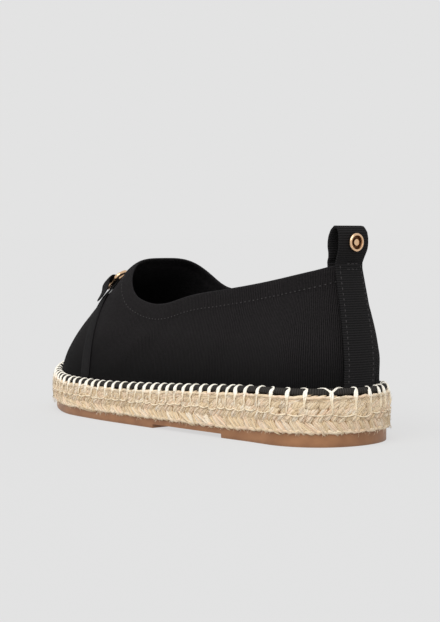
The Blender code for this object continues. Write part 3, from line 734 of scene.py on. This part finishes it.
spots = np.array([v.co[:] for v in canvas_mesh.vertices]) / MM
for side, mid_y, mid_z, half_long, half_wide, lean, depth in CREASES:
    if side:
        a, b = spots[:, 1] - mid_y, spots[:, 2] - mid_z
        near = spots[:, 0] * side > CREASED_WALL
    else:
        a, b = spots[:, 0], spots[:, 1] - mid_y
        near = spots[:, 2] > CREASED_VAMP
    turn = math.radians(lean)
    lengthways = a * math.cos(turn) + b * math.sin(turn)
    sideways = -a * math.sin(turn) + b * math.cos(turn)
    push = near * depth * np.exp(-((lengthways / half_long) ** 2) - (sideways / half_wide) ** 2)
    spots[:, 0 if side else 2] -= push * (side or 1)
canvas_mesh.vertices.foreach_set("co", (spots * MM).ravel())
canvas_mesh.update()
corners = [v.co[:] for v in canvas_mesh.vertices]
skin = BVHTree.FromPolygons(corners, [p.vertices[:] for p in canvas_mesh.polygons])
canvas_upper = piece("upper_canvas", canvas_mesh, canvas, lining)
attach(canvas_upper, "root")
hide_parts("upper")

# Black cotton thread: tight and slightly shiny, so each stitch shows as a small lighter dash.
BLACK_TONES = ((0.3, "#1A1818"), (0.7, "#302C2D"))
black_thread = mottled(
    "black_cotton_thread", "#252223", 0.6, 1800.0, 2.0, BLACK_TONES, Specular_IOR_Level=0.35
)[0]

stitch = bmesh.new()
bmesh.ops.create_uvsphere(stitch, u_segments=6, v_segments=6, radius=1.0)
stitch_mesh, stitch_corners = template(stitch)


def stitched(path, facing):
    """Corners of a row of stitches along a path in metres, each standing up on the side it faces."""
    path, facing = np.array(path), np.array(facing)
    run = distance_along(path) / MM
    row = []
    for at in np.arange(STITCH_STEP, run[-1] - STITCH_STEP / 2, STITCH_STEP):
        spot, further = (read_off(at + d, run, path) for d in (0, 0.5))
        up = read_off(at, run, facing)
        ahead = (further - spot) / np.linalg.norm(further - spot)
        side = np.cross(up, ahead)
        q, r, p = stitch_corners.T
        rise = (0.8 * r - 0.7 * p**2) * STITCH_RADIUS
        lengthways = np.outer(p * STITCH_LENGTH / 2, ahead)
        shape = lengthways + np.outer(q * STITCH_RADIUS, side) + np.outer(rise, up)
        row.append(spot + shape * MM)
    return row


hem_ring = []
for column in range(upper_grid.shape[1]):
    outside = upper_grid[down_outside, column]
    hem_ring.append(read_off(HEM_STITCH_DOWN, distance_along(outside), outside))
hem_ring = closed_curve(np.array(hem_ring), HEM_STEP)[0]
hem_path, hem_facing = [], []
for spot in np.vstack([hem_ring, hem_ring[:1]]):
    near, normal, _, _ = skin.find_nearest(Vector(spot) * MM)
    hem_path.append(near - normal * HEM_STITCH_SUNK * MM)
    hem_facing.append(normal)
hem_rows = stitched(hem_path, hem_facing)
hem_stitches = piece("hem_stitches", copies(stitch_mesh, hem_rows, [0.5] * len(hem_rows)), black_thread)
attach(hem_stitches, "root")

# ------------------------------------
# Rolled edge. The canvas is turned outwards over a cord at its foot, and this
# plump roll is what the thick edge stitches hold down on the jute.

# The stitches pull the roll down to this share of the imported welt's height above the jute
ROLL_PULLED_DOWN = 0.68

welt_mesh = smoothed(squared_shell("welt")[0], 2)
for v in welt_mesh.vertices:
    seat = jute_top(v.co.y / MM)
    above = v.co.z / MM - seat - TOP_PRESSED
    v.co.z = (seat + above * (ROLL_PULLED_DOWN if above > 0 else 1.0)) * MM
lay_cloth(welt_mesh, round_heel)
# The same canvas rolled face out, painted greyer than the walls as painted light and sheen on the roll.
PAINTED_LIGHT_ROLL_TONES = ("#22201E", "#403D3A")
rolled_canvas = ribbed_cloth("black_ribbed_canvas_painted_light", "#403D3A", PAINTED_LIGHT_ROLL_TONES, 0.0, **CANVAS)
edge_roll = piece("edge_roll", welt_mesh, rolled_canvas)
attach(edge_roll, "root")
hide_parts("welt")

# ------------------------------------
# Edge stitching. One thick two-ply cream thread, sewn by hand in blanket stitch:
# each bar runs over the roll and down the jute, its thin tail hooks back into the
# crease behind the roll, and a low scallop lies on the jute from bar to bar.

PLY_TWIST = 55.0
PLY_SPREAD = 0.85
THREAD_STEP = 0.8
FIRST_BAR = -11.5
LEAST_GAP = 5.0
TAIL_REACH = 3.2
V_REACH = 10.0
V_STITCH = 18.8
V_WITHIN = 4.0
FORK_RADIUS = 0.28
SLANTED_FROM = 55.0
LOW_RADIUS = 0.34
FOOT_RADIUS = 0.25
SCALLOP_RADIUS = 0.2
# The thread at a stitch, from the crease behind the roll to the bar: how far out, mm above the jute,
# how far along as a share of the tail's reach where it hooks over and where it slants, and a ply's radius
TAIL = (
    (-5.2, 2.6, 1.2, 0.8, 0.12),
    (-4.5, 3.3, 0.9, 0.64, 0.14),
    (-3.8, 3.6, 0.5, 0.47, 0.17),
    (-3.1, 3.6, 0, 0.34, 0.2),
    (-2.5, 3.3, -0.22, 0.25, 0.25),
    (-2, 2.8, -0.2, 0.17, 0.34),
    (-1.6, 2.3, -0.1, 0.1, 0.46),
)
# The bar from there down the roll's face: how far out, mm above the jute, and a ply's radius
BAR = ((-1.3, 1.7, 0.57), (-1.15, 0.9, 0.6), (-1.05, -0.1, 0.6), (-0.8, -1.2, 0.5))
# Spacing of the bars: mm from the heel's middle, and mm to the next bar
BAR_GAPS = ((-12, -3, 6, 19, 31, 58, 68), (8.1, 9.2, 13, 12.6, 9.2, 9.2, 6.4))
# The bars' feet: mm from the heel's middle, and the share of the jute's height they reach down to
BAR_FEET = ((20, 70), (0.5, 0.58))

stitch_places = []
at = FIRST_BAR
while at < AROUND + FIRST_BAR - LEAST_GAP:
    stitch_places.append(at)
    at += np.interp(min(at, AROUND - at), *BAR_GAPS) + random.gauss(0, 0.25)

thread_curve = bpy.data.curves.new("edge_thread", "CURVE")
thread_curve.dimensions = "3D"
thread_curve.bevel_depth = MM
thread_curve.bevel_resolution = 1
thread_curve.use_fill_caps = True


def lay_thread(path, thickness, along, flat_at=0):
    """Adds a two-ply thread on a path in metres, with a ply's radius in mm at each point. The plies
    lie side by side at point flat_at, and wind slowly round each other from there."""
    path = np.array(path)
    run = distance_along(path)
    at = np.linspace(0, run[-1], max(6, int(run[-1] / MM / THREAD_STEP)))
    line = read_off(at, run, path)
    wide = np.interp(at, run, thickness)
    ahead = np.gradient(line, axis=0)
    ahead /= np.linalg.norm(ahead, axis=1)[:, None]
    facing = (rim(along, 1.0, 0.0) - rim(along, 0.0, 0.0)) / MM + (0.0, 0.0, 0.7)
    side = np.cross(ahead, facing)
    side /= np.linalg.norm(side, axis=1)[:, None]
    other = np.cross(ahead, side)
    start = random.gauss(0, 0.15) - run[flat_at] / MM / PLY_TWIST * math.tau
    for turned_by in (0.0, math.pi):
        turn = start + turned_by + at / MM / PLY_TWIST * math.tau
        offset = side * np.cos(turn)[:, None] + other * np.sin(turn)[:, None]
        points = line + offset * (wide * PLY_SPREAD)[:, None] * MM
        spline = thread_curve.splines.new("POLY")
        spline.points.add(len(points) - 1)
        for point, spot, radius in zip(spline.points, points, wide):
            point.co = (*spot, 1)
            point.radius = radius


for k, along in enumerate(stitch_places):
    after = stitch_places[(k + 1) % len(stitch_places)] + AROUND * (k + 1 == len(stitch_places))
    lean = random.gauss(0, 0.25)
    forked = abs(along - V_STITCH) < V_WITHIN
    slanted = forked or min(along, AROUND - along) > SLANTED_FROM
    side = -1 if SLANTED_FROM < along < AROUND / 2 else 1
    foot = np.interp(min(along, AROUND - along), *BAR_FEET) + random.gauss(0, 0.02)
    for second in range(1 + forked):
        reach = side * random.uniform(0.85, 1.15) * (V_REACH if forked else TAIL_REACH) * (1 - 2 * second)
        path, wide = [], []
        for out, up, hooked, slant, radius in TAIL:
            share = slant if slanted else hooked
            path.append(rim(along + lean + share * reach, out, 1.0, up))
            wide.append(min(radius, FORK_RADIUS) if forked else radius)
        for out, up, radius in BAR[: len(BAR) - 3 * second]:
            path.append(rim(along + lean * (up / 3), out, 1.0, up))
            wide.append(FORK_RADIUS if second else radius)
        if not second:
            for share in (0.85, 0.7, foot + 0.07):
                path.append(rim(along + random.gauss(0, 0.2), -0.5 + random.gauss(0, 0.15), share))
                wide.append(LOW_RADIUS)
            path.append(rim(along, -1.2, foot))
            wide.append(FOOT_RADIUS)
        lay_thread(path, wide, along, flat_at=len(TAIL) + 1 - second)
    gap = after - along
    scallop = []
    for t in np.linspace(0.05, 0.95, 11):
        out = -0.1 + random.gauss(0, 0.15) - 1.2 * abs(2 * t - 1) ** 6
        scallop.append(rim(along + gap * t, out, foot - 0.05 * math.sin(math.pi * t)))
    lay_thread(scallop, [SCALLOP_RADIUS] * len(scallop), along + gap / 2)

thread_mesh = as_mesh(new_object("edge_thread_curve", thread_curve))
corners = np.array([v.co[:] for v in thread_mesh.vertices]) / MM
sunk = jute_top(corners[:, 1]) - corners[:, 2]
dust = thread_mesh.attributes.new("dust", "FLOAT", "POINT")
dust.data.foreach_set("value", np.clip(sunk / 2, 0, 1))

# Waxed cotton thread, natural cream: bright and softly shining over the roll, and dulled by
# jute dust and fibre where it is pulled into the plaits.
CREAM_TONES = ((0.3, "#E4DBC6"), (0.6, "#F8F4EA"))
cream_thread, tree, shader, _, fuzz, tint = mottled(
    "cream_cotton_thread", "#F2ECDC", 0.6, 1500.0, 3.0, CREAM_TONES,
    Sheen_Weight=0.3, Sheen_Roughness=0.4, Specular_IOR_Level=0.4,
)
relief = add(tree, "Bump", {"Height": fuzz, "Strength": 0.3, "Distance": 0.1 * MM})
dusty = add(tree, "Attribute", attribute_name="dust")
covered = add(tree, "Math", {0: (dusty, "Fac"), 1: 0.7}, operation="MULTIPLY")
soiled = add(tree, "Mix", {0: covered, 6: tint, 7: linear("#DCC7A3")}, data_type="RGBA")
wire_up(tree, shader, Base_Color=(soiled, 2), Normal=relief)
edge_stitching = piece("edge_stitching", thread_mesh, cream_thread)
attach(edge_stitching, "root")

# ------------------------------------
# Back strap. A ribbed cotton tape sewn up the heel, carried over the collar into a
# pull loop and tucked down inside. A row of stitches holds it along each edge, and
# two short rows cross it under the loop.

TAPE_THICK = 1.4
TAPE_WIDE = 18.0
TAPE_HALF = 9.6
TAPE_EDGE = 0.4
FOLDS_BEYOND = 5.0
FOLD_SLANT = 2.0
TAPE_RIB = 1.15
TAPE_WARP = 0.5
COLLAR_BACK = 86.0
LEAST_BEND = 18.0
LOOP_BEND = 70.0
EDGE_SEAM = 1.9
SEAM_FROM = 2.0
SEAM_TOP = 85.8
SEAM_POINTS = 44
CROSS_ROWS = (83.0, 85.8)
CROSS_REACH = 0.68
CROSS_POINTS = 12
SUNK_FOOT = 4.5
LOOP_RAISED = 1.0
RAISED_FROM = 97.0
RAISED_TO = 102.5


def four_sided(name):
    """A CAD node's mesh as one skin of four-sided faces."""
    skin = whole_skin(name)
    bmesh.ops.join_triangles(
        skin, faces=skin.faces[:], angle_face_threshold=math.pi, angle_shape_threshold=math.pi
    )
    split = [e for e in skin.edges if sum(len(f.verts) == 3 for f in e.link_faces) == 2]
    bmesh.ops.dissolve_edges(skin, edges=split)
    return skin


# The tape's edge line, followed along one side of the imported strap.
strap_skin = four_sided("back_strap")
folds = [e for e in strap_skin.edges if e.calc_face_angle(0) > 1.0]
folds = [e for e in folds if max(v.co.x for v in e.verts) < -FOLDS_BEYOND * MM]
folds = [e for e in folds if abs(e.verts[0].co.x - e.verts[1].co.x) < FOLD_SLANT * MM]
foot = min((v for e in folds for v in e.verts), key=lambda v: v.co.z)
chain = [foot]
while True:
    beside = [e.other_vert(chain[-1]) for e in folds if chain[-1] in e.verts]
    beside = [v for v in beside if v not in chain]
    if not beside:
        break
    chain.append(max(beside, key=lambda v: v.co.z) if len(chain) == 1 else beside[0])
half_chain = len(chain) // 2
chain = np.array([v.co / MM for v in chain])
spine = (chain[:half_chain] + chain[::-1][:half_chain]) / 2
spine[:, 1] += heel_fullness(spine[:, 1], spine[:, 2])
spine[:, 2] += np.interp(spine[:, 2], (RAISED_FROM, RAISED_TO), (0.0, LOOP_RAISED))
spine[:, 0] = np.maximum(spine[:, 0], -TAPE_HALF)
down = (spine[0] - spine[1]) / np.linalg.norm(spine[0] - spine[1])
spine = np.vstack([spine[0] + down * SUNK_FOOT, spine])
rear_leg = slice(0, int(spine[:, 2].argmax()))
tape_run = distance_along(spine[:, 1:])
tape_length = tape_run[-1]


def run_up_to(height):
    """Distance along the tape to a height on its rear leg, in mm."""
    return float(np.interp(height, spine[rear_leg, 2], tape_run[rear_leg]))


def tape_middle(at):
    """y, z and half-width of the tape's edge line, at a distance along it."""
    return [np.interp(at, tape_run, c) for c in (spine[:, 1], spine[:, 2], -spine[:, 0])]


def tape_bend(at):
    """How far the tape's middle stands out of its edge line, which is hollow round the heel."""
    y, z, half = tape_middle(at)
    radius = np.where(z < COLLAR_BACK, np.maximum(LEAST_BEND, y - HEEL_CENTRE), LOOP_BEND)
    return radius - np.sqrt(radius**2 - half**2)


def on_tape(at, across, proud):
    """A point of the tape in metres, from its distance along, its share across from -1 to 1, and
    mm out of the tape's middle."""
    y, z, half = tape_middle(at)
    dy, dz = (np.interp(at + 0.4, tape_run, c) - np.interp(at - 0.4, tape_run, c) for c in spine[:, 1:].T)
    size = np.hypot(dy, dz)
    out_y, out_z = dz / size, -dy / size
    bulge = tape_bend(at) * (1 - across**2)
    return np.stack([across * half, y + bulge + out_y * proud, z + out_z * proud], axis=-1) * MM


tape = swept(150, 10, lambda along, across: on_tape(along * tape_length, across * 2 - 1, 0.0), join=False)
lie_uv = tape.loops.layers.uv["lie"]
cloth_uv = tape.loops.layers.uv.new("cloth")
for loop in corners_of(tape):
    across, along = loop[lie_uv].uv
    loop[cloth_uv].uv = (along * tape_length * MM, (across - 0.5) * TAPE_WIDE * MM)

# Black grosgrain tape: cotton ribs across it 1.15 mm apart, with painted shade in their grooves and
# painted highlight on their crests, a touch glossier than the canvas.
GROSGRAIN = dict(
    ribs=TAPE_RIB, wander=0.0, threads=TAPE_WARP, share=0.2, lint=1.6, lit=(-0.4, 2.2),
    relief=(0.6, 0.2), roughness=0.9, Specular_IOR_Level=0.15,
)
grosgrain = ribbed_cloth("black_grosgrain_tape", "#191819", ("#0B0B0B", "#1F1D1E"), 0.0, **GROSGRAIN)

back_strap = piece("back_strap_tape", tape, grosgrain)
body = back_strap.modifiers.new("thickness", "SOLIDIFY")
body.thickness = TAPE_THICK * MM
body.offset = 0
soft_edge = back_strap.modifiers.new("soft_edge", "BEVEL")
soft_edge.width = TAPE_EDGE * MM
soft_edge.segments = 2
soft_edge.angle_limit = math.radians(50)
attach(back_strap, "root")
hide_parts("back_strap")


def sewn(at, across):
    """A row of stitches on the tape's outside, through distances along it and shares across it."""
    surface, above = (on_tape(at, across, TAPE_THICK / 2 + d) for d in (0, 1))
    return stitched(surface, (above - surface) / MM)


seam_at = np.linspace(SEAM_FROM, run_up_to(SEAM_TOP), SEAM_POINTS)
seam_rows = []
for edge in (-1, 1):
    seam_rows += sewn(seam_at, edge * (1 - EDGE_SEAM / tape_middle(seam_at)[2]))
for row in CROSS_ROWS:
    across = np.linspace(-CROSS_REACH, CROSS_REACH, CROSS_POINTS)
    seam_rows += sewn(np.full(CROSS_POINTS, run_up_to(row)), across)
strap_stitches = piece("strap_stitches", copies(stitch_mesh, seam_rows, [0.5] * len(seam_rows)), black_thread)
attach(strap_stitches, "root")

# ------------------------------------
# Heel rivet. A turned brass cap, rose gilt: a plain boss in a sunk ring inside a
# raised rim. It is clenched through the outer leg of the pull loop.

RIVET_UP = 96.0
BOSS_RADIUS = 1.6
RECESS_RADIUS = 3.2
RECESS_FLOOR = 0.76
# Radius and height in mm, from the middle of the boss to the back of the rim
RIVET_PROFILE = (
    (0.0, 2.05), (1.1, 2.0), (1.55, 1.75), (1.75, 0.85), (2.85, 0.8), (3.1, 1.5),
    (3.35, 2.2), (3.8, 2.4), (4.2, 2.2), (4.4, 1.7), (4.25, 1.0), (3.4, 0.75),
)
# Rose gilt on brass, polished: a warm mirror, softened by fine handling scratches.
rose_gilt, tree, shader = finish("rose_gilt_brass_polished", "#EAC39C", 0.24, Metallic=1.0)
place = (add(tree, "TexCoord"), "Object")
scratch = add(tree, "TexNoise", {"Vector": place, "Scale": 1800.0, "Detail": 4.0})
gloss = add(tree, "MapRange", {"Value": scratch, "To Min": 0.17, "To Max": 0.36})
relief = add(tree, "Bump", {"Height": scratch, "Strength": 0.08, "Distance": 0.05 * MM})
wire_up(tree, shader, Roughness=gloss, Normal=relief)

# The cap's sunk ring: the same brass painted darker, as painted shade and painted dark reflections,
# so the boss and rim stand out from it.
PAINTED_SHADE_BRASS_TONES = ((0.3, "#4A3020"), (0.7, "#7C5638"))
painted_shade_brass = mottled(
    "brass_painted_shade_in_the_recess", "#6A4830", 0.5, 1500.0, 3.0, PAINTED_SHADE_BRASS_TONES, Metallic=1.0
)[0]

rivet_run = run_up_to(RIVET_UP)
seat = Vector(on_tape(rivet_run, 0.0, 0.0))
above, below = (Vector(on_tape(rivet_run + d, 0.0, 0.0)) for d in (1.5, -1.5))
up_line = (above - below).normalized()
facing = up_line.cross(Vector((1, 0, 0)))
cap = bmesh.new()
corners = [cap.verts.new((radius * MM, 0, up * MM)) for radius, up in RIVET_PROFILE]
profile = [cap.edges.new(pair) for pair in zip(corners, corners[1:])]
bmesh.ops.spin(
    cap, geom=corners + profile, cent=(0, 0, 0), axis=(0, 0, 1), angle=math.tau, steps=48, use_merge=True
)
bmesh.ops.remove_doubles(cap, verts=cap.verts[:], dist=1e-6)
rim_edges = [e for e in cap.edges if e.is_boundary]
bmesh.ops.holes_fill(cap, edges=rim_edges)
bmesh.ops.recalc_face_normals(cap, faces=cap.faces[:])
# The sunk ring's faces take the brass painted with shade and dark reflections.
for face in cap.faces:
    middle = face.calc_center_median() / MM
    recessed = BOSS_RADIUS < math.hypot(middle.x, middle.y) < RECESS_RADIUS
    face.material_index = int(recessed and middle.z > RECESS_FLOOR)
squared = facing.to_track_quat("Z", "Y").to_matrix().to_4x4()
bmesh.ops.transform(cap, matrix=squared, verts=cap.verts[:])
bmesh.ops.translate(cap, verts=cap.verts[:], vec=seat)
heel_rivet = piece("heel_rivet", cap, rose_gilt, painted_shade_brass, sharp=45)
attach(heel_rivet, "root")
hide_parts("rivet")

# ------------------------------------
# Vamp trim. A narrow ribbed cotton tab comes up each side of the vamp and folds
# round the straight limb of a D ring, and a rose gilt bar joins the two rings.

TAB_SUNK = 5.5
TAB_FOOT = 1.0
TAB_PRESSED = 0.3
SEATED_TO = 58.0
FREE_FROM = 66.0
LEVEL_STEP = 4.0

for side_name in ("side_strap_lateral", "side_strap_medial"):
    tab_shell = four_sided(side_name)
    lowest = min(v.co.z for v in tab_shell.verts)
    tab_foot = [v for v in tab_shell.verts if v.co.z < lowest + TAB_FOOT * MM]
    bmesh.ops.translate(tab_shell, verts=tab_foot, vec=(0, 0, -TAB_SUNK * MM))
    tab_mesh = smoothed(tab_shell, 1)
    # Each tab lies against the wall up to where it turns round its ring.
    hits = [skin.find_nearest(v.co) for v in tab_mesh.vertices]
    heights = np.array([v.co.z for v in tab_mesh.vertices]) / MM
    apart = np.array([distance for _, _, _, distance in hits]) / MM
    levels = np.arange(heights.min(), heights.max(), LEVEL_STEP)
    slack = [apart[np.abs(heights - level) < LEVEL_STEP].min() + TAB_PRESSED for level in levels]
    pull = np.interp(heights, levels, slack) * np.interp(heights, (SEATED_TO, FREE_FROM), (1.0, 0.0))
    for v, (_, normal, _, _), inwards in zip(tab_mesh.vertices, hits, pull):
        v.co -= normal * inwards * MM
    lay_cloth(tab_mesh, lambda x, y, z: (y, z))
    tab = piece(side_name.replace("side_strap", "vamp_tab"), tab_mesh, grosgrain)
    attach(tab, "root")
    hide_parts(side_name)

bit_mesh = smoothed(four_sided("bit"), 1)
ringed_bar = piece("ringed_bar", bit_mesh, rose_gilt)
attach(ringed_bar, "root")
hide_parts("bit")

# ------------------------------------
# Studio. A seamless pale sweep, broad soft light from above and one side, and the
# camera low behind the heel on the lateral side.

FLOOR_SIZE = 60.0
FLOOR_BELOW = 0.1
BACKDROP = "#E3E3E3"
GLOW = 0.8
SUNBEAM = Vector((-0.68, -0.36, -0.9))
CAMERA_AT = Vector((0.486, 0.639, 0.099))
LOOK = Vector((-0.613, -0.790, -0.0501))

# Lit perspex table: plain pale grey that glows softly from below, so that shadows on it stay faint.
sweep_paint = finish(
    "pale_lit_table", "#5F5F5F", 1.0,
    Specular_IOR_Level=0.0, Emission_Color=linear(BACKDROP), Emission_Strength=GLOW,
)[0]
sweep = bmesh.new()
bmesh.ops.create_grid(sweep, x_segments=1, y_segments=1, size=FLOOR_SIZE)
bmesh.ops.translate(sweep, verts=sweep.verts[:], vec=(0, 0, -FLOOR_BELOW * MM))
floor = piece("studio_floor", sweep, sweep_paint)

world = bpy.data.worlds.new("studio_world")
world.use_nodes = True
wire_up(world.node_tree, world.node_tree.nodes["Background"], Color=linear(BACKDROP), Strength=1.0)
bpy.context.scene.world = world

sun = bpy.data.lights.new("key_light", "SUN")
sun.energy = 2.3
sun.angle = math.radians(60)
key_light = new_object("key_light", sun)
key_light.rotation_euler = SUNBEAM.to_track_quat("-Z", "Y").to_euler()

lens = bpy.data.cameras.new("camera")
lens.sensor_width = 36.0
lens.lens = 86.8
lens.clip_start = 0.01
camera = new_object("camera", lens)
camera.location = CAMERA_AT
camera.rotation_euler = LOOK.to_track_quat("-Z", "Y").to_euler()
bpy.context.scene.camera = camera
bpy.context.scene.view_settings.view_transform = "Standard"
